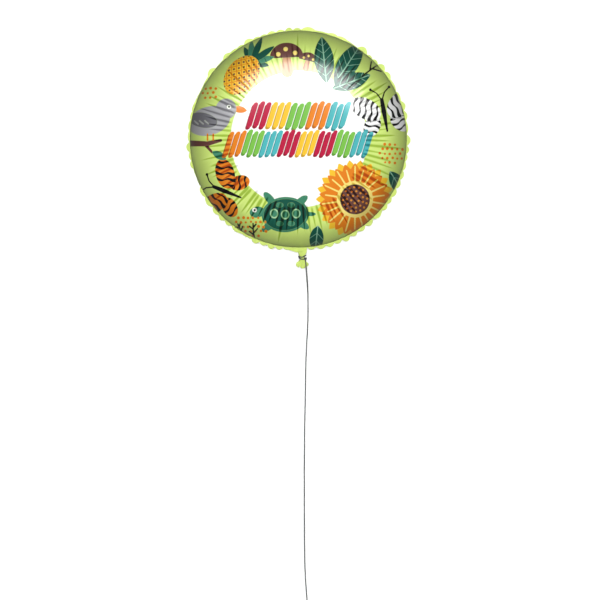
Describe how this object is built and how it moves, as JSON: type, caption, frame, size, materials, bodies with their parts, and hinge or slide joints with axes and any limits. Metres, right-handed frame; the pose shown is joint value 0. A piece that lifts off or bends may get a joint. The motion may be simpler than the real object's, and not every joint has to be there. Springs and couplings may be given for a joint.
{
  "type": "foil balloon",
  "caption": "Round filled foil party balloon with a lobed sealed rim, creased printed front, gathered neck with tail, and a tied string with its spare length coiled.",
  "frame": {"origin": "centre of the flat patch on the back that the balloon lies on, under the middle of its round body", "axes": "+Z out of the printed front, +Y from the neck to the far side of the rim, +X to the right of the printed picture"},
  "size_m": [0.3569, 0.9621, 0.2077],
  "materials": {
    "printed_foil": "glossy printed metallised film, white middle, lime ground",
    "plain_foil": "glossy lime metallised film",
    "string": "matt grey twisted string"
  },
  "bodies": {
    "root": {"front_foil": "printed_foil", "back_foil": "plain_foil", "ribbon_tie": "string", "ribbon": "string", "ribbon_coil": "string"}
  },
  "joints": []
}
